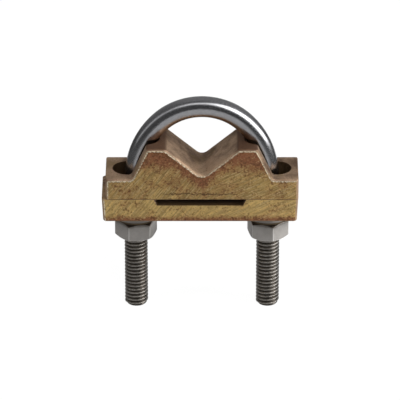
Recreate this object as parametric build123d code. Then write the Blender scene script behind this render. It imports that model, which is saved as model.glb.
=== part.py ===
from build123d import *
from math import cos, radians, sin, tan
import os

# Earth rod clamp: a rod is held between a V-shaped saddle and a U-bolt, and a flat copper
# tape is gripped between the saddle and the plate under it.
# Millimetres. The origin is on the axis of the seated rod, halfway through the clamp.
# +Z points up, away from the nuts, and Y runs along the rod.

# Rod and its seat
rod_diameter = 19.05  # 3/4 in rod
rod_slack = 0.3  # between the seated rod and the crown of the U-bolt
v_angle = 100.0  # between the two faces of the V
v_bottom_height = 10.1  # sharp bottom of the V above the saddle's underside
v_bottom_radius = 3.2

# Saddle
saddle_length = 78.2
clamp_depth = 22.0
ledge_height = 9.0
hump_height = 22.5
hump_top_half = 22.4  # outer corner of a hump's flat top, from the middle
hump_slope_run = 6.3  # how far a hump's outer face leans out on its way down
hump_foot_radius = 1.6
hump_shoulder_radius = 1.0
crest_radius = 0.9  # edge between a flat top and the V, right hump
soft_crest_radius = 4.0  # the same edge on the left hump, cast softer

# Plate
plate_length = 79.7
plate_thickness = 10.0
plate_shift = -0.8  # the plate sits this far off the saddle's middle
plate_end_lean = 0.5  # the ends lean in by this much towards the underside
plate_bottom_radius = 1.6
groove_width = 35.0  # flat floor of the tape groove
groove_depth = 2.6
groove_side_run = 1.3  # each side of the groove leans out by this much

# Casting finish
corner_radius = 1.5  # standing corners at the four ends
edge_break = 0.25  # ground edges on the front and back faces

# U-bolt
wire_diameter = 8.5
thread_diameter = 9.525  # 3/8 in, 16 threads to the inch
leg_spacing = 54.0
crown_radius = 24.4  # centre line of the wire over the rod
crown_half_angle = 45.25  # how far the crown arc runs to each side
leg_below_plate = 42.7
thread_length = 50.0
tip_chamfer = 0.95

# Fits
leg_side_gap = 1.3375  # leg to the side of its slot or hole
slot_inner_gap = 0.5  # bent wire to the inner end of the slot, at the flat top
slot_outer_gap = 4.6  # leg to the outer end of the slot
nut_bore_gap = 0.05
washer_bore_gap = 0.4
spring_washer_bore_gap = 0.2

# Nuts and washers
nut_across_flats = 15.2
nut_height = 7.5
nut_chamfer_angle = 30.0
nut_face_share = 0.97  # round face of the nut, as a share of its width across flats
left_nut_turn = -18.6  # corner nearest the front, from straight ahead
right_nut_turn = 13.4
washer_diameter = 19.05
washer_thickness = 1.6
spring_washer_diameter = 15.6
spring_washer_thickness = 1.8
split_width = 1.2
split_lean = 20.0

# Worked out from the values above
rod_radius = rod_diameter / 2
wire_radius = wire_diameter / 2
thread_radius = thread_diameter / 2
leg_x = leg_spacing / 2
v_slope = 90 - v_angle / 2
meet_z = -(v_bottom_height + rod_radius / cos(radians(v_slope)))  # saddle meets plate
hump_top_z = meet_z + hump_height
plate_bottom_z = meet_z - plate_thickness
washer_bottom_z = plate_bottom_z - washer_thickness
spring_washer_bottom_z = washer_bottom_z - spring_washer_thickness
nut_bottom_z = spring_washer_bottom_z - nut_height
leg_tip_z = plate_bottom_z - leg_below_plate
slot_width = thread_diameter + 2 * leg_side_gap

# The wire's centre line is a crown arc with a wider shoulder arc on each side of it,
# which ends upright, straight above the leg.
crown_sine = sin(radians(crown_half_angle))
crown_cosine = cos(radians(crown_half_angle))
shoulder_radius = (leg_x - crown_radius * crown_sine) / (1 - crown_sine)
crown_top_z = rod_radius + rod_slack + wire_radius
crown_centre_z = crown_top_z - crown_radius
shoulder_centre_x = leg_x - shoulder_radius
shoulder_centre_z = crown_centre_z - (shoulder_radius - crown_radius) * crown_cosine



def wire_inner_reach(z):
    # Distance from the middle to the inside of the bent wire at this height
    rise = z - shoulder_centre_z
    return shoulder_centre_x + ((shoulder_radius - wire_radius) ** 2 - rise**2) ** 0.5


def long_slot(inner_x, outer_x, width, bottom_z, top_z):
    # Solid with round ends, upright, that cuts a slot running along X
    length = outer_x - inner_x
    outline = Pos((inner_x + outer_x) / 2, 0, bottom_z) * SlotOverall(length, width)
    return extrude(outline, amount=top_z - bottom_z)


def edges_near(shape, axis, x, z, reach=0.05):
    # Straight edges along an axis that lie close to a point of the front view
    found = []
    for edge in shape.edges().filter_by(axis):
        middle = edge.center()
        if abs(middle.X - x) < reach and abs(middle.Z - z) < reach:
            found.append(edge)
    return found


def front_and_back_edges(shape):
    # Edges round the flat front and back faces
    faces = shape.faces().filter_by(Axis.Y).sort_by(Axis.Y)
    return faces[0].edges() + faces[-1].edges()


def make_saddle():
    half = saddle_length / 2
    foot = hump_top_half + hump_slope_run
    v_half = (hump_height - v_bottom_height) / tan(radians(v_slope))
    ledge_z = meet_z + ledge_height
    v_bottom_z = meet_z + v_bottom_height
    outline = Polyline(
        (-half, meet_z),
        (half, meet_z),
        (half, ledge_z),
        (foot, ledge_z),
        (hump_top_half, hump_top_z),
        (v_half, hump_top_z),
        (0, v_bottom_z),
        (-v_half, hump_top_z),
        (-hump_top_half, hump_top_z),
        (-foot, ledge_z),
        (-half, ledge_z),
        close=True,
    )
    profile = make_face(Plane.XZ * outline)
    block = extrude(profile, amount=clamp_depth / 2, both=True)
    for side in (-1, 1):
        block = fillet(edges_near(block, Axis.Y, side * foot, ledge_z), hump_foot_radius)
        block = fillet(edges_near(block, Axis.Y, side * hump_top_half, hump_top_z), hump_shoulder_radius)
        block = fillet(edges_near(block, Axis.Y, side * half, ledge_z), edge_break * 2)
    block = fillet(edges_near(block, Axis.Y, v_half, hump_top_z), crest_radius)
    block = fillet(edges_near(block, Axis.Y, -v_half, hump_top_z), soft_crest_radius)
    block = fillet(edges_near(block, Axis.Y, 0, v_bottom_z), v_bottom_radius)
    corners = block.edges().filter_by(Axis.Z)
    block = fillet(corners, corner_radius)
    block = chamfer(front_and_back_edges(block), edge_break)
    inner = wire_inner_reach(hump_top_z) - slot_inner_gap
    outer = leg_x + thread_radius + slot_outer_gap
    slot = long_slot(inner, outer, slot_width, meet_z - 1, hump_top_z + 1)
    return block - slot - mirror(slot, about=Plane.YZ)


def make_plate():
    half = plate_length / 2
    foot = half - plate_end_lean
    groove_top = groove_width / 2 + groove_side_run
    groove_z = meet_z - groove_depth
    outline = Polyline(
        (-foot, plate_bottom_z),
        (foot, plate_bottom_z),
        (half, meet_z),
        (groove_top, meet_z),
        (groove_width / 2, groove_z),
        (-groove_width / 2, groove_z),
        (-groove_top, meet_z),
        (-half, meet_z),
        close=True,
    )
    profile = make_face(Plane.XZ * outline)
    bar = extrude(profile, amount=clamp_depth / 2, both=True)
    ends = bar.faces().sort_by(Axis.X)
    standing = ends[0].edges().sort_by(Axis.Y)
    standing_far = ends[-1].edges().sort_by(Axis.Y)
    bar = fillet([standing[0], standing[-1], standing_far[0], standing_far[-1]], corner_radius)
    bar = fillet(bar.faces().sort_by(Axis.Z)[0].edges(), plate_bottom_radius * 0.5)
    bar = Pos(plate_shift, 0, 0) * bar
    for side in (-1, 1):
        hole = Pos(side * leg_x, 0, plate_bottom_z - 1) * Cylinder(
            slot_width / 2, plate_thickness + 2, align=(Align.CENTER, Align.CENTER, Align.MIN)
        )
        bar = bar - hole
    return bar


def leg_rod(x):
    # Threaded end of the wire, swollen to the thread's outside by rolling
    rod = Cylinder(thread_radius, thread_length, align=(Align.CENTER, Align.CENTER, Align.MIN))
    rod = chamfer(rod.edges().sort_by(Axis.Z)[0], tip_chamfer)
    return Pos(x, 0, leg_tip_z) * rod


def make_u_bolt():
    wire_start_z = leg_tip_z + thread_length
    shoulder_z = shoulder_centre_z
    join_x = crown_radius * crown_sine
    join_z = crown_centre_z + crown_radius * crown_cosine
    halfway = radians((90 + crown_half_angle) / 2)
    bend_x = shoulder_centre_x + shoulder_radius * sin(halfway)
    bend_z = shoulder_z + shoulder_radius * cos(halfway)
    path = [
        Line((-leg_x, 0, wire_start_z), (-leg_x, 0, shoulder_z)),
        ThreePointArc((-leg_x, 0, shoulder_z), (-bend_x, 0, bend_z), (-join_x, 0, join_z)),
        ThreePointArc((-join_x, 0, join_z), (0, 0, crown_top_z), (join_x, 0, join_z)),
        ThreePointArc((join_x, 0, join_z), (bend_x, 0, bend_z), (leg_x, 0, shoulder_z)),
        Line((leg_x, 0, shoulder_z), (leg_x, 0, wire_start_z)),
    ]
    section = Pos(-leg_x, 0, wire_start_z) * Circle(wire_radius)
    hoop = sweep(section, path=Wire(path))
    return hoop + leg_rod(-leg_x) + leg_rod(leg_x)


def chamfer_cone(radius, height):
    # Round envelope that turns the corners off both ends of a hexagon
    corner = nut_across_flats / 2 / cos(radians(30))
    drop = (corner - radius) * tan(radians(nut_chamfer_angle))
    outline = Polyline(
        (0, 0),
        (radius, 0),
        (corner, drop),
        (corner, height - drop),
        (radius, height),
        (0, height),
        close=True,
    )
    return revolve(make_face(Plane.XZ * outline), axis=Axis.Z)


def make_nut(x, turn):
    corner = nut_across_flats / 2 / cos(radians(30))
    hexagon = RegularPolygon(corner, 6, rotation=turn - 90)
    body = extrude(hexagon, amount=nut_height)
    face_radius = nut_across_flats / 2 * nut_face_share
    body = body & chamfer_cone(face_radius, nut_height)
    bore_radius = thread_radius + nut_bore_gap
    bore = Cylinder(bore_radius, nut_height, align=(Align.CENTER, Align.CENTER, Align.MIN))
    body = body - bore
    return Pos(x, 0, nut_bottom_z) * body


def make_washer(x):
    bore_radius = thread_radius + washer_bore_gap
    ring = Circle(washer_diameter / 2) - Circle(bore_radius)
    return Pos(x, 0, washer_bottom_z) * extrude(ring, amount=washer_thickness)


def make_spring_washer(x):
    # One coil, cut through with a leaning slit on the side away from the front
    bore_radius = thread_radius + spring_washer_bore_gap
    outer_radius = spring_washer_diameter / 2
    ring = Circle(outer_radius) - Circle(bore_radius)
    coil = extrude(ring, amount=spring_washer_thickness)
    slit_place = Pos(0, (outer_radius + bore_radius) / 2, spring_washer_thickness / 2)
    slit = slit_place * Rot(0, split_lean, 0) * Box(split_width, outer_radius, spring_washer_thickness * 3)
    return Pos(x, 0, spring_washer_bottom_z) * (coil - slit)


os.makedirs("parts", exist_ok=True)
pieces = {
    "saddle": make_saddle(),
    "base_plate": make_plate(),
    "u_bolt": make_u_bolt(),
}
for side_name, side_x, turn in (("left", -leg_x, left_nut_turn), ("right", leg_x, right_nut_turn)):
    pieces[side_name + "_washer"] = make_washer(side_x)
    pieces[side_name + "_spring_washer"] = make_spring_washer(side_x)
    pieces[side_name + "_nut"] = make_nut(side_x, turn)
for name, piece in pieces.items():
    export_step(piece, "parts/" + name + ".step")
    print(name, round(piece.volume, 1))
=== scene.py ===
import math

import bmesh
import bpy
from mathutils import Matrix, Vector


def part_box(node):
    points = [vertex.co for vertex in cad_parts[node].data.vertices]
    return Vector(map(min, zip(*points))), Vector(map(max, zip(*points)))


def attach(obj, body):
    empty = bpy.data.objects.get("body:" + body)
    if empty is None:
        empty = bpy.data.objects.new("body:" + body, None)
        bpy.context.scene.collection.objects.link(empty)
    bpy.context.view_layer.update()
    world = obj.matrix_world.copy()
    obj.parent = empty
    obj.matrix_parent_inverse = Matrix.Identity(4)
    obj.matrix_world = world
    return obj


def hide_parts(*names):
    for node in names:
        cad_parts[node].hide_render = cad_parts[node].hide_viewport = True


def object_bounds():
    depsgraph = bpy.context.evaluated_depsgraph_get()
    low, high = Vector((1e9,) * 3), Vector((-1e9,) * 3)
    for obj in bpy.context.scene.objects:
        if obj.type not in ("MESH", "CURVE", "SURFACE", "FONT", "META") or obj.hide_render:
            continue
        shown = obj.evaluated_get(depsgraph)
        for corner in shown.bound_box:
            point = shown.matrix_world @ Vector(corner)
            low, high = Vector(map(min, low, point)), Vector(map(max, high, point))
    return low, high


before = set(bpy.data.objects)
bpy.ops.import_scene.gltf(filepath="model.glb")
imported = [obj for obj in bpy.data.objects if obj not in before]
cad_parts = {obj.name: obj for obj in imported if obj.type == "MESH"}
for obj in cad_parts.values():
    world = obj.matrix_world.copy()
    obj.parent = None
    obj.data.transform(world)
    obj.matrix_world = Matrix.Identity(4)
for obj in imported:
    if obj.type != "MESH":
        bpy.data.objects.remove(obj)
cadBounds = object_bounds()
mm = 0.001


# Wraps a shader socket, so that sums on masks read as plain expressions
class Link:
    def __init__(self, tree, socket):
        self.tree = tree
        self.socket = socket

    def math(self, operation, *others):
        values = dict(enumerate((self, *others)))
        return addNode(self.tree, "ShaderNodeMath", {"operation": operation}, values)

    def __abs__(self):
        return self.math("ABSOLUTE")

    def __add__(self, other):
        return self.math("ADD", other)

    def __radd__(self, other):
        return self.math("ADD", other)

    def __sub__(self, other):
        return self.math("SUBTRACT", other)

    def __rsub__(self, other):
        return addNode(self.tree, "ShaderNodeMath", {"operation": "SUBTRACT"}, {0: other, 1: self})

    def __mul__(self, other):
        return self.math("MULTIPLY", other)

    def __rmul__(self, other):
        return self.math("MULTIPLY", other)

    def __gt__(self, other):
        return self.math("GREATER_THAN", other)

    def __lt__(self, other):
        return self.math("LESS_THAN", other)


# Adds one node: its settings first, then the values or links of its sockets.
# out is the output that the link reads, by number or by name.
def addNode(tree, kind, settings=None, values=None, out=0):
    node = tree.nodes.new(kind)
    for name, value in (settings or {}).items():
        setattr(node, name, value)
    for name, value in (values or {}).items():
        socket = node.inputs[name]
        if isinstance(value, Link):
            tree.links.new(value.socket, socket)
        elif isinstance(value, tuple) and len(value) == 3 and socket.type == "RGBA":
            socket.default_value = (*value, 1)
        else:
            socket.default_value = value
    return Link(tree, node.outputs[out]) if len(node.outputs) else None


def newMaterial(name):
    material = bpy.data.materials.new(name)
    material.use_nodes = True
    material.node_tree.nodes.clear()
    return material, material.node_tree


def mixColour(tree, amount, first, second):
    values = {"Factor": amount, 6: first, 7: second}  # 6 and 7 are the colour pair of the Mix node
    return addNode(tree, "ShaderNodeMix", {"data_type": "RGBA"}, values, out=2)


# Nought at low, one at high and a soft step between, either way round
def smoothBand(tree, value, low, high):
    settings = {"interpolation_type": "SMOOTHSTEP"}
    values = {"Value": value, "From Min": low, "From Max": high}
    return addNode(tree, "ShaderNodeMapRange", settings, values)


# Object coordinates, turned about Y first and then stretched, so that a long grain can lean
def place(tree, scale=(1, 1, 1), lean=0):
    coordinate = addNode(tree, "ShaderNodeTexCoord", out="Object")
    values = {"Vector": coordinate, "Scale": tuple(1 / size for size in scale)}
    values["Rotation"] = (0, math.radians(lean), 0)
    return addNode(tree, "ShaderNodeMapping", {"vector_type": "TEXTURE"}, values)


def splitVector(tree, vector):
    first = addNode(tree, "ShaderNodeSeparateXYZ", {}, {0: vector})
    return [Link(tree, socket) for socket in first.socket.node.outputs]


def surfaceNormal(tree):
    return splitVector(tree, addNode(tree, "ShaderNodeTexCoord", out="Normal"))


def rayKind(tree, name):
    return addNode(tree, "ShaderNodeLightPath", out=name)


def noise(tree, vector, scale, detail=4.0, rough=0.55):
    values = {"Vector": vector, "Scale": scale, "Detail": detail, "Roughness": rough}
    return addNode(tree, "ShaderNodeTexNoise", {}, values)


def finishMaterial(tree, colour, metallic, rough, height, depth, strength):
    surface = addNode(tree, "ShaderNodeBump", {}, {"Height": height, "Distance": depth, "Strength": strength})
    values = {"Base Color": colour, "Metallic": metallic, "Roughness": rough, "Normal": surface}
    shader = addNode(tree, "ShaderNodeBsdfPrincipled", {}, values)
    addNode(tree, "ShaderNodeOutputMaterial", {}, {"Surface": shader})


# Lengths here and in the other pieces' values are in millimetres
bronzeLook = {
    "ground": (0.60, 0.40, 0.142),
    "groundDull": (0.30, 0.20, 0.078),
    "glint": (0.82, 0.62, 0.31),
    "patina": (0.285, 0.10, 0.055),
    "castTop": (0.54, 0.375, 0.25),
    "castDark": (0.19, 0.12, 0.08),
    "crown": (0.15, 0.078, 0.046),
    "pit": (0.075, 0.044, 0.022),
    # pale painted highlight colour along the burr
    "edge": (1.0, 0.90, 0.66),
    "hole": (0.085, 0.047, 0.018),
    "metallic": 0.8,
    "groundRough": 0.44,
    "castRough": 0.6,
    "patinaRough": 0.16,  # added where the patina lies
    "burrSmooth": 0.2,  # taken off along the bright burr
    "scratchBright": 0.5,
    "scratchDark": 0.28,
    "leftGrain": 52,  # degrees that the scratches lean
    "rightGrain": 27,
    "patinaShare": 0.54,
    "patinaCover": 0.85,
    "patinaFromTop": (12, 2),  # how far off the patina starts, and where it is full
    "patinaFromBase": (4, 0),
    "patinaBesideV": (8, 1.5),
    "vSlope": 0.839,
    "vDepth": 12.4,
    "groundSkin": 0.3,
    "burrSkin": 0.26,
    "slotHalfWidth": 6.6,
    "slotReach": 37,
    "lineWander": 4.2,
    "lineWidth": (0.42, 0.12),
    "lineReach": (18, 12),
    "reliefDepth": 0.28,
}

# The plate is cleaner and paler than the saddle, with fainter scratches
plateLook = dict(
    bronzeLook, ground=(0.74, 0.51, 0.185), groundDull=(0.40, 0.27, 0.105),
    scratchBright=0.35, scratchDark=0.16, patinaShare=0.46
)


# Grains that both finishes share: three sizes of mottle, fine scratches and wider streaks.
# The scratches change their lean across the middle.
def bronzeGrain(tree, look, point, x):
    grain = {
        "blotch": noise(tree, point, 85, 6, 0.62),
        "fine": noise(tree, point, 380, 6, 0.72),
        "grit": noise(tree, point, 1250, 4, 0.65),
    }
    rightward = smoothBand(tree, x + (grain["blotch"] - 0.5) * 20 * mm, -4 * mm, 8 * mm)
    marks = {"scratch": ((190, 240, 3600), 3, 0.6), "streak": ((70, 90, 900), 4, 0.65)}
    for name, (scale, detail, rough) in marks.items():
        spots = [place(tree, scale, -look[lean]) for lean in ("leftGrain", "rightGrain")]
        left, right = (noise(tree, spot, 1, detail, rough) for spot in spots)
        grain[name] = left * (1 - rightward) + right * rightward
    return grain


# Share of patina: more of it near the crests, beside the V and along the bottom edge
def patinaCover(tree, look, places, grain, x, z):
    high, low = (reach * mm for reach in look["patinaFromTop"])
    fromTop = smoothBand(tree, z, places["topZ"] - high, places["topZ"] - low)
    high, low = (reach * mm for reach in look["patinaFromBase"])
    fromBase = smoothBand(tree, z, places["baseZ"] + high, places["baseZ"] + low)
    aboveV = z - abs(x) * look["vSlope"] + look["vDepth"] * mm
    far, close = (reach * mm for reach in look["patinaBesideV"])
    besideV = smoothBand(tree, aboveV, -far, -close)
    near = fromTop.math("MAXIMUM", fromBase).math("MAXIMUM", besideV * 0.8)
    worn = grain["blotch"] + near * 0.52 + (grain["fine"] - 0.5) * 0.8 + (grain["grit"] - 0.5) * 0.5
    worn = worn + (grain["streak"] - 0.5) * 0.5 + (look["patinaShare"] - 0.5)
    return smoothBand(tree, worn, 0.42, 0.90)


# Linished face: scratched bronze, then patina, painted glints on scratches and grit, pits and the rough line
# above the groove
def groundFinish(tree, look, places, grain, patina, x, z):
    fine, grit, streak = grain["fine"], grain["grit"], grain["streak"]
    clean = smoothBand(tree, streak + (fine - 0.5) * 0.5, 0.36, 0.66)
    colour = mixColour(tree, clean, look["groundDull"], look["ground"])
    # painted highlight: some scratches painted brighter as glints
    scratchGlint = smoothBand(tree, grain["scratch"], 0.50, 0.66) * look["scratchBright"]
    colour = mixColour(tree, scratchGlint, colour, look["glint"])
    sunk = smoothBand(tree, grain["scratch"], 0.45, 0.32) * look["scratchDark"]
    colour = mixColour(tree, sunk, colour, look["pit"])
    colour = mixColour(tree, patina * look["patinaCover"], colour, look["patina"])
    glint = smoothBand(tree, grit + (streak - 0.5) * 0.5, 0.42, 0.30)
    colour = mixColour(tree, glint * 0.35, colour, look["glint"])
    pitted = smoothBand(tree, grit + (fine - 0.5) * 0.7 + patina * 0.09, 0.55, 0.70)
    colour = mixColour(tree, pitted * 0.55, colour, look["pit"])
    wander = abs(z - places["lineZ"] + (fine - 0.5) * look["lineWander"] * mm)
    wide, narrow = (width * mm for width in look["lineWidth"])
    outer, inner = (reach * mm for reach in look["lineReach"])
    line = smoothBand(tree, wander, wide, narrow) * smoothBand(tree, abs(x), outer, inner)
    colour = mixColour(tree, line * 0.8, colour, look["pit"])
    relief = grain["scratch"] * 0.12 + patina * fine * 0.4 - pitted * 0.12 - line * 0.3
    return colour, relief


# Sand-cast skin: mottled tops, golden patches low down, dark crests, and painted shade in the groove and
# slots
def castFinish(tree, look, places, grain, point, upward):
    x, y, z = splitVector(tree, point)
    topZ, grooveZ = places["topZ"], places["grooveZ"]
    fine = grain["fine"]
    mottle = smoothBand(tree, grain["blotch"] + (fine - 0.5) * 0.4, 0.38, 0.72)
    colour = mixColour(tree, mottle, look["castTop"], look["castDark"])
    specks = smoothBand(tree, grain["grit"] + (fine - 0.5) * 0.6, 0.46, 0.34)
    colour = mixColour(tree, specks * 0.45, colour, look["crown"])
    risen = smoothBand(tree, z, topZ - 22 * mm, topZ - 6 * mm)
    golden = smoothBand(tree, noise(tree, point, 140, 5) - risen * 0.1, 0.44, 0.66)
    colour = mixColour(tree, golden * 0.55, colour, look["groundDull"])
    crest = smoothBand(tree, z, topZ - 0.8 * mm, topZ - 0.1 * mm) * (upward > 0.6)
    colour = mixColour(tree, crest * 0.9, colour, look["crown"])
    # painted shade on the groove floor, which shows through the slots
    groove = smoothBand(tree, z, grooveZ + 0.9 * mm, grooveZ + 0.3 * mm) * (upward > 0.4)
    colour = mixColour(tree, groove * 0.9, colour, look["hole"])
    # painted shade on the upright walls of the slots
    upright = smoothBand(tree, abs(upward), 0.25, 0.05)
    slotShade = upright * (abs(y) < look["slotHalfWidth"] * mm) * (abs(x) < look["slotReach"] * mm)
    colour = mixColour(tree, slotShade * 0.85, colour, look["hole"])
    return colour, noise(tree, point, 260, 6, 0.65) + grain["grit"] * 0.3


# Painted highlight: a bright broken line along the burr, where a ground face turns into the casting's top or
# left side
def burrHighlightMask(tree, look, places, point, y, normal):
    sideways, facing, upward = normal
    edge = (facing > 0.3) * (facing < 0.97) * (abs(y) > places["faceY"] - look["burrSkin"] * mm)
    edge = edge * (upward.math("MAXIMUM", sideways * -1) > 0.12)
    broken = smoothBand(tree, noise(tree, point, 1400, 4, 0.7), 0.42, 0.57)
    return edge * (broken * 0.8 + 0.08)


# One bronze for both castings. places holds the heights of the crests, base, rough line and groove,
# and faceY, half the depth, where the ground faces lie.
def makeBronze(name, look, places):
    material, tree = newMaterial(name)
    point = place(tree)
    x, y, z = splitVector(tree, point)
    sideways, facing, upward = surfaceNormal(tree)
    facing = abs(facing)
    flat = (facing > 0.9) * (abs(y) > places["faceY"] - look["groundSkin"] * mm)
    grain = bronzeGrain(tree, look, point, x)
    patina = patinaCover(tree, look, places, grain, x, z)
    ground, groundRelief = groundFinish(tree, look, places, grain, patina, x, z)
    cast, castRelief = castFinish(tree, look, places, grain, point, upward)
    burrHighlight = burrHighlightMask(tree, look, places, point, y, (sideways, facing, upward))
    colour = mixColour(tree, flat, cast, ground)
    # the burr is painted in a pale colour as a painted highlight
    colour = mixColour(tree, burrHighlight, colour, look["edge"])
    rough = look["castRough"] - flat * (look["castRough"] - look["groundRough"])
    rough = rough + patina * flat * look["patinaRough"] - burrHighlight * look["burrSmooth"]
    relief = (1 - flat) * castRelief + flat * groundRelief
    finishMaterial(tree, colour, look["metallic"], rough, relief, look["reliefDepth"] * mm, 0.8)
    return material


steelLook = {
    "wire": (0.56, 0.56, 0.58),
    "wireDull": (0.42, 0.42, 0.43),
    "wireBronzeReflection": (0.34, 0.235, 0.15),
    # brown of the painted reflection of the bronze on the wire
    "wireRough": 0.17,
    "thread": (0.58, 0.55, 0.51),
    "threadDull": (0.34, 0.315, 0.285),
    "threadRootShade": (0.07, 0.056, 0.042),
    "threadRough": 0.22,
    "nut": (0.50, 0.475, 0.45),
    "nutDull": (0.31, 0.29, 0.27),
    "nutBronzeShade": (0.085, 0.06, 0.038),
    "nutRough": 0.36,
    "reliefDepth": 0.03,
    "reliefStrength": 0.5,
}

# Nut edges painted bright as a painted highlight, and the spring washers painted dark as painted shade
edgeHighlightLook = dict(steelLook, nut=(0.95, 0.93, 0.90), nutDull=(0.42, 0.40, 0.37), nutRough=0.24)
# spring washers painted dark as painted shade between the flat washer and the nut
springShadeLook = dict(steelLook, nut=(0.17, 0.135, 0.09), nutDull=(0.07, 0.052, 0.034), nutRough=0.42)


def finishSteel(tree, look, colour, rough, height):
    finishMaterial(tree, colour, 1.0, rough, height, look["reliefDepth"] * mm, look["reliefStrength"])


# The inner side of the bend is painted brown as a painted reflection of the bronze. centreZ is the height of
# the crown's centre.
def makeWire(look, centreZ):
    material, tree = newMaterial("stainlessWire")
    point = place(tree)
    x, y, z = splitVector(tree, point)
    sideways, facing, upward = surfaceNormal(tree)
    rise = (z - centreZ).math("MAXIMUM", 0)
    reach = (x * x + rise * rise).math("SQRT").math("MAXIMUM", 1 * mm)
    inward = (x * sideways + rise * upward).math("DIVIDE", reach) * -1
    wear = noise(tree, point, 1300, 4, 0.65)
    faint = noise(tree, point, 90, 3, 0.5)
    colour = mixColour(tree, smoothBand(tree, wear, 0.35, 0.7) * 0.6, look["wire"], look["wireDull"])
    # painted reflection: faces turned toward the bend's centre are tinted brown
    bronzeReflection = smoothBand(tree, inward + (faint - 0.5) * 0.5, 0.1, 0.8)
    colour = mixColour(tree, bronzeReflection * 0.85, colour, look["wireBronzeReflection"])
    finishSteel(tree, look, colour, look["wireRough"] + faint * 0.08 + wear * 0.06, wear)
    return material


# Painted shade towards the root of the thread, by the distance from the leg's axis
def makeThreadSteel(look, size):
    material, tree = newMaterial("threadSteel")
    point = place(tree)
    x, y, z = splitVector(tree, point)
    fromAxis = abs(x) - size["legSpacing"] / 2 * mm
    radius = (fromAxis * fromAxis + y * y).math("SQRT")
    outer = size["threadDiameter"] / 2 * mm
    root = outer - size["threadDepth"] * mm
    wear = noise(tree, point, 800, 4, 0.6)
    colour = mixColour(tree, smoothBand(tree, wear, 0.4, 0.7), look["thread"], look["threadDull"])
    # painted shade in the thread's grooves
    rootShade = smoothBand(tree, radius, outer - 0.1 * mm, root)
    colour = mixColour(tree, rootShade * 0.85, colour, look["threadRootShade"])
    finishSteel(tree, look, colour, look["threadRough"] + wear * 0.14, wear)
    return material


# Cloudy, speckled steel, with painted shade tinted brown as a painted reflection of the bronze near the nut's
# top and on faces that look up
def makeNutSteel(name, look, nutTop):
    material, tree = newMaterial(name)
    point = place(tree)
    x, y, z = splitVector(tree, point)
    sideways, facing, upward = surfaceNormal(tree)
    grain = noise(tree, point, 1300, 3, 0.6)
    cloud = noise(tree, point, 150, 4, 0.6)
    drag = noise(tree, place(tree, (260, 260, 1500)), 1, 3, 0.6)
    colour = mixColour(tree, smoothBand(tree, cloud, 0.35, 0.75) * 0.5, look["nut"], look["nutDull"])
    height = z + (cloud - 0.5) * 1.6 * mm
    # painted shade under the plate, tinted brown as a painted reflection of the bronze
    topShade = smoothBand(tree, height, nutTop - 1.5 * mm, nutTop - 0.5 * mm) * 0.5
    topShade = topShade.math("MAXIMUM", smoothBand(tree, upward, 0.12, 0.4) * 0.85)
    colour = mixColour(tree, topShade, colour, look["nutBronzeShade"])
    speck = smoothBand(tree, noise(tree, point, 1900, 3, 0.7), 0.55, 0.75)
    colour = mixColour(tree, speck * 0.5, colour, look["nutDull"])
    finishSteel(tree, look, colour, look["nutRough"] + grain * 0.16, grain * 0.5 + drag * 0.5)
    return material


def newPiece(name, mesh, materials, body, slot, *nodes):
    data = bpy.data.meshes.new(name)
    mesh.to_mesh(data)
    mesh.free()
    piece = bpy.data.objects.new(name, data)
    bpy.context.scene.collection.objects.link(piece)
    for material in materials:
        data.materials.append(material)
    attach(piece, body)
    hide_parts(*nodes)
    return piece


uBolt = {
    "wireDiameter": 8.5,
    "threadDiameter": 9.525,
    "threadPitch": 1.5875,
    "threadDepth": 0.9,
    "legSpacing": 54.0,
    "crownRadius": 24.4,
    "crownHalfAngle": 45.25,
    "threadLength": 50.0,
    "tipChamfer": 0.95,
    "threadSteps": 40,
    "wireSides": 48,
}


# Bent wire: a ring carried up the leg, round the shoulder, over the crown and down again
def addWire(mesh, size, crownTop, legStart):
    legX = size["legSpacing"] / 2 * mm
    crown = size["crownRadius"] * mm
    half = math.radians(size["crownHalfAngle"])
    shoulder = (legX - crown * math.sin(half)) / (1 - math.sin(half))
    crownZ = crownTop - crown
    shoulderX = legX - shoulder
    shoulderZ = crownZ - (shoulder - crown) * math.cos(half)
    wire = size["wireDiameter"] / 2 * mm
    start = Matrix.Translation((-legX, 0, legStart))
    ring = bmesh.ops.create_circle(mesh, segments=size["wireSides"], radius=wire, matrix=start)
    verts = ring["verts"]
    edges = list({edge for vert in verts for edge in vert.link_edges})
    ends = [edges]
    grown = bmesh.ops.extrude_edge_only(mesh, edges=edges)["geom"]
    verts = [item for item in grown if isinstance(item, bmesh.types.BMVert)]
    edges = [item for item in grown if isinstance(item, bmesh.types.BMEdge)]
    bmesh.ops.translate(mesh, verts=verts, vec=(0, 0, shoulderZ - legStart))
    bends = (
        ((-shoulderX, 0, shoulderZ), math.pi / 2 - half, 20),
        ((0, 0, crownZ), 2 * half, 40),
        ((shoulderX, 0, shoulderZ), math.pi / 2 - half, 20),
    )
    for centre, angle, steps in bends:
        turned = bmesh.ops.spin(
            mesh, geom=verts + edges, cent=centre, axis=(0, 1, 0), angle=angle, steps=steps, use_merge=False
        )["geom_last"]
        verts = [item for item in turned if isinstance(item, bmesh.types.BMVert)]
        edges = [item for item in turned if isinstance(item, bmesh.types.BMEdge)]
    grown = bmesh.ops.extrude_edge_only(mesh, edges=edges)["geom"]
    verts = [item for item in grown if isinstance(item, bmesh.types.BMVert)]
    edges = [item for item in grown if isinstance(item, bmesh.types.BMEdge)]
    bmesh.ops.translate(mesh, verts=verts, vec=(0, 0, legStart - shoulderZ))
    ends.append(edges)
    for loop in ends:
        bmesh.ops.edgeloop_fill(mesh, edges=loop)


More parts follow.
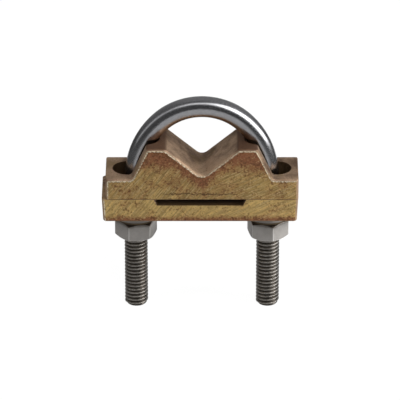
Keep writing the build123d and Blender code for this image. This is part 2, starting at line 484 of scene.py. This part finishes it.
# Rolled thread: one pitch of the outline spun down the leg as a screw, then cut to length
def addThread(mesh, size, x, tipZ, topZ):
    pitch = size["threadPitch"] * mm
    outer = size["threadDiameter"] / 2 * mm
    root = outer - size["threadDepth"] * mm
    turns = math.ceil((topZ - tipZ) / pitch) + 2
    startZ = tipZ - 1.5 * pitch
    outline = (
        (root, 0),
        (root, 0.18),
        (root + 0.12 * (outer - root), 0.24),
        (outer - 0.10 * (outer - root), 0.55),
        (outer, 0.60),
        (outer, 0.72),
        (outer - 0.10 * (outer - root), 0.77),
        (root + 0.12 * (outer - root), 0.96),
        (root, 1),
    )
    before = set(mesh.verts)
    verts = [mesh.verts.new((x + radius, 0, startZ + share * pitch)) for radius, share in outline]
    edges = [mesh.edges.new(pair) for pair in zip(verts, verts[1:])]
    steps = size["threadSteps"]
    bmesh.ops.spin(
        mesh, geom=verts + edges, cent=(x, 0, 0), axis=(0, 0, 1), angle=2 * math.pi,
        steps=steps, dvec=(0, 0, pitch / steps), use_merge=False
    )
    oneTurn = [vert for vert in mesh.verts if vert not in before]
    faces = list({face for vert in oneTurn for face in vert.link_faces})
    for turn in range(1, turns):
        copied = bmesh.ops.duplicate(mesh, geom=faces)["geom"]
        moved = [item for item in copied if isinstance(item, bmesh.types.BMVert)]
        bmesh.ops.translate(mesh, verts=moved, vec=(0, 0, turn * pitch))
    fresh = [vert for vert in mesh.verts if vert not in before]
    bmesh.ops.remove_doubles(mesh, verts=fresh, dist=0.01 * mm)
    for cutZ, side in ((tipZ, 1), (topZ, -1)):
        fresh = [vert for vert in mesh.verts if vert not in before]
        geometry = fresh + list({edge for vert in fresh for edge in vert.link_edges})
        geometry += list({face for vert in fresh for face in vert.link_faces})
        cut = bmesh.ops.bisect_plane(
            mesh, geom=geometry, plane_co=(0, 0, cutZ), plane_no=(0, 0, -side), clear_outer=True
        )["geom_cut"]
        rim = [item for item in cut if isinstance(item, bmesh.types.BMEdge)]
        bmesh.ops.edgeloop_fill(mesh, edges=rim)
    tipRadius = outer - size["tipChamfer"] * mm
    for vert in [vert for vert in mesh.verts if vert not in before]:
        away = Vector((vert.co.x - x, vert.co.y, 0))
        limit = tipRadius + max(vert.co.z - tipZ, 0)
        if away.length > limit:
            vert.co.x = x + away.x * limit / away.length
            vert.co.y = away.y * limit / away.length


def makeUBolt(size, wireSteel, threadSteel):
    low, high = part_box("u_bolt")
    tipZ = low[2]
    threadTop = tipZ + size["threadLength"] * mm
    mesh = bmesh.new()
    addWire(mesh, size, high[2] - size["wireDiameter"] / 2 * mm, threadTop - 0.4 * mm)
    wireFaces = set(mesh.faces)
    for side in (-1, 1):
        addThread(mesh, size, side * size["legSpacing"] / 2 * mm, tipZ, threadTop)
    for face in mesh.faces:
        face.smooth = face in wireFaces and len(face.verts) == 4
        face.material_index = 0 if face in wireFaces else 1
        if face not in wireFaces and len(face.verts) < 6:
            face.smooth = True
    bmesh.ops.recalc_face_normals(mesh, faces=mesh.faces)
    return newPiece("uBolt", mesh, (wireSteel, threadSteel), "u_bolt", "stainless", "u_bolt")


nutFinish = {"edge": 0.16, "segments": 2, "sharpDegrees": 24, "flatDegrees": 2, "weld": 0.002}


# A turned or forged part keeps its own form and gets softened edges, in the last of its materials
def makeSoftened(node, name, finish, materials, body):
    mesh = bmesh.new()
    mesh.from_mesh(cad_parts[node].data)
    bmesh.ops.remove_doubles(mesh, verts=mesh.verts, dist=finish["weld"] * mm)
    flat = math.radians(finish["flatDegrees"])
    bmesh.ops.dissolve_limit(mesh, angle_limit=flat, verts=mesh.verts, edges=mesh.edges)
    for face in mesh.faces:
        face.smooth = True
    sharp = math.radians(finish["sharpDegrees"])
    edges = [edge for edge in mesh.edges if edge.is_manifold and edge.calc_face_angle(0) > sharp]
    rounded = bmesh.ops.bevel(
        mesh, geom=edges, offset=finish["edge"] * mm, segments=finish["segments"], profile=0.5,
        affect="EDGES", material=-1, clamp_overlap=True
    )["faces"]
    for face in rounded:
        face.material_index = len(materials) - 1
    piece = newPiece(name, mesh, materials, body, "nut_steel", node)
    piece.data.set_sharp_from_angle(angle=sharp)
    return piece


studio = {
    "elevation": 27.0,
    "distance": 1.6,
    "lens": 355.5,
    "aim": (-0.0008, -0.011, -0.0226),
    "floorSize": 30.0,
    "floorWhite": (0.27, 0.27, 0.27),
    "floorDark": (0.06, 0.06, 0.06),
    "floorShare": 0.84,
    "floorGlow": 1.14,
    "floorMirrored": 0.03,
    "floorLitSide": 1.2,
    "ambient": 0.5,
    "mirroredLeast": 0.06,
    "strip": 1.35,
    "stripToRight": 2.3,
    "stripToLeft": 0.8,  # taken off the strip to the left
    "rearSky": 0.16,
    "rearLow": 0.2,
}

# Name, place, target, width and height in metres, and watts
softboxes = (
    ("rightSoftbox", (1.0, -0.35, 0.52), (0, 0, 0), (0.42, 0.6), 15),
    ("leftSoftbox", (-1.0, -0.38, 0.55), (0, 0, 0), (0.3, 0.5), 8),
    ("frontFill", (0.25, -1.3, 1.1), (0, 0, -0.02), (0.6, 0.6), 16),
)


def addCamera(size):
    camera = bpy.data.objects.new("camera", bpy.data.cameras.new("camera"))
    bpy.context.scene.collection.objects.link(camera)
    lift = math.radians(size["elevation"])
    aim = Vector(size["aim"])
    camera.location = aim + Vector((0, -math.cos(lift), math.sin(lift))) * size["distance"]
    camera.rotation_euler = (math.pi / 2 - lift, 0, 0)
    camera.data.lens = size["lens"]
    camera.data.sensor_width = 36
    camera.data.clip_end = 100
    bpy.context.scene.camera = camera


# Mirrors don't see the lamps, because the world holds the soft strip that they show instead
def addSoftbox(name, spot, target, size, power):
    lamp = bpy.data.lights.new(name, "AREA")
    lamp.shape = "RECTANGLE"
    lamp.size, lamp.size_y = size
    lamp.energy = power
    box = bpy.data.objects.new(name, lamp)
    box.visible_glossy = False
    bpy.context.scene.collection.objects.link(box)
    box.location = spot
    box.rotation_euler = (Vector(target) - Vector(spot)).to_track_quat("-Z", "Y").to_euler()


# Floor under the leg tips: mostly plain white to the camera over a lit grey that takes the shadow.
# Metal sees that grey, a white patch to the right of the nuts, and darkness further out on both sides.
def addFloor(size, floorZ):
    mesh = bmesh.new()
    bmesh.ops.create_grid(mesh, x_segments=1, y_segments=1, size=size["floorSize"] / 2)
    bmesh.ops.translate(mesh, verts=mesh.verts, vec=(0, 0, floorZ))
    data = bpy.data.meshes.new("floor")
    mesh.to_mesh(data)
    mesh.free()
    floor = bpy.data.objects.new("floor", data)
    bpy.context.scene.collection.objects.link(floor)
    material, tree = newMaterial("paleFloor")
    glow = addNode(tree, "ShaderNodeEmission", {}, {"Color": (1.0, 1.0, 1.0), "Strength": size["floorGlow"]})
    seen = rayKind(tree, "Is Camera Ray")
    glossy = rayKind(tree, "Is Glossy Ray")
    x, y, z = splitVector(tree, addNode(tree, "ShaderNodeTexCoord", out="Object"))
    litSide = smoothBand(tree, x, 30 * mm, 70 * mm) * smoothBand(tree, y, -120 * mm, -60 * mm)
    darkSide = smoothBand(tree, abs(x), 135 * mm, 170 * mm) * glossy
    grey = mixColour(tree, darkSide, size["floorWhite"], size["floorDark"])
    plain = addNode(tree, "ShaderNodeBsdfDiffuse", {}, {"Color": grey})
    lit = 1 - darkSide
    mirrored = size["floorMirrored"] * lit + litSide * lit * size["floorLitSide"]
    share = seen * size["floorShare"] + glossy * mirrored
    mixed = addNode(tree, "ShaderNodeMixShader", {}, {0: share, 1: plain, 2: glow})
    addNode(tree, "ShaderNodeOutputMaterial", {}, {"Surface": mixed})
    data.materials.append(material)


# White for the camera, an even grey for soft light, and for metal a dim studio with one bright strip
# that runs overhead from side to side, brighter to the right
def addWorld(size):
    world = bpy.data.worlds.new("studio")
    bpy.context.scene.world = world
    world.use_nodes = True
    tree = world.node_tree
    tree.nodes.clear()
    direct = rayKind(tree, "Is Camera Ray").math("MAXIMUM", rayKind(tree, "Is Transmission Ray"))
    glossy = rayKind(tree, "Is Glossy Ray")
    across, depth, height = splitVector(tree, addNode(tree, "ShaderNodeTexCoord", out="Generated"))
    toRight = smoothBand(tree, across, 0.05, 0.6)
    toLeft = smoothBand(tree, across, -0.15, -0.7)
    fromStrip = abs(depth * 0.866 + height * 0.5) - toRight * 0.13  # the strip's plane leans 30 degrees
    strip = smoothBand(tree, fromStrip, 0.19, 0.04) * smoothBand(tree, height, -0.05, 0.15)
    strip = strip * (size["strip"] + toRight * size["stripToRight"] - toLeft * size["stripToLeft"])
    rearSky = smoothBand(tree, depth, -0.35, 0.25) * smoothBand(tree, height, -0.1, 0.5) * (1 - toLeft * 0.6)
    rearLow = smoothBand(tree, depth, 0.5, 0.95) * smoothBand(tree, height, 0.5, 0.0)
    mirrored = size["mirroredLeast"] + strip + rearSky * size["rearSky"] + rearLow * size["rearLow"]
    ambient = (1 - glossy) * size["ambient"] + glossy * mirrored
    strength = direct + (1 - direct) * ambient
    light = addNode(tree, "ShaderNodeBackground", {}, {"Color": (1.0, 1.0, 1.0), "Strength": strength})
    addNode(tree, "ShaderNodeOutputWorld", {}, {"Surface": light})


print("materials")
saddleLow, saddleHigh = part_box("saddle")
plateLow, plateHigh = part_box("base_plate")
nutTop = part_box("left_nut")[1][2]
crownZ = cadBounds[1][2] - (uBolt["crownRadius"] + uBolt["wireDiameter"] / 2) * mm
# A height beyond the casting switches that feature off: the saddle has no groove, the plate no crests
saddlePlaces = {
    "topZ": saddleHigh[2],
    "baseZ": saddleLow[2] - 8 * mm,
    "lineZ": saddleLow[2] + 2.6 * mm,
    "grooveZ": saddleLow[2] - 10 * mm,
    "faceY": saddleHigh[1],
}
platePlaces = {
    "topZ": plateHigh[2] + 40 * mm,
    "baseZ": plateLow[2],
    "lineZ": plateLow[2] - 9 * mm,
    "grooveZ": plateHigh[2] - 2.6 * mm,
    "faceY": saddleHigh[1],
}
saddleBronze = makeBronze("saddleBronze", bronzeLook, saddlePlaces)
plateBronze = makeBronze("plateBronze", plateLook, platePlaces)
wireSteel = makeWire(steelLook, crownZ)
threadSteel = makeThreadSteel(steelLook, uBolt)
nutSteel = makeNutSteel("nutSteel", steelLook, nutTop)
# painted highlight on the rounded edges of the nuts
nutEdgeHighlight = makeNutSteel("nutEdgeHighlight", edgeHighlightLook, nutTop)
springShadedSteel = makeNutSteel("springShadedSteel", springShadeLook, nutTop)

print("castings")
for node, material in (("saddle", saddleBronze), ("base_plate", plateBronze)):
    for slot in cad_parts[node].material_slots:
        slot.material = material

print("bolt")
makeUBolt(uBolt, wireSteel, threadSteel)

print("nuts and washers")
for side in ("left", "right"):
    washers = side + "_washers"
    makeSoftened(side + "_nut", side + "Nut", nutFinish, (nutSteel, nutEdgeHighlight), side + "_nut")
    makeSoftened(side + "_washer", side + "Washer", nutFinish, (nutSteel,), washers)
    makeSoftened(side + "_spring_washer", side + "SpringWasher", nutFinish, (springShadedSteel,), washers)

print("studio")
addCamera(studio)
addFloor(studio, cadBounds[0][2])
addWorld(studio)
for softbox in softboxes:
    addSoftbox(*softbox)
bpy.context.scene.view_settings.view_transform = "Standard"

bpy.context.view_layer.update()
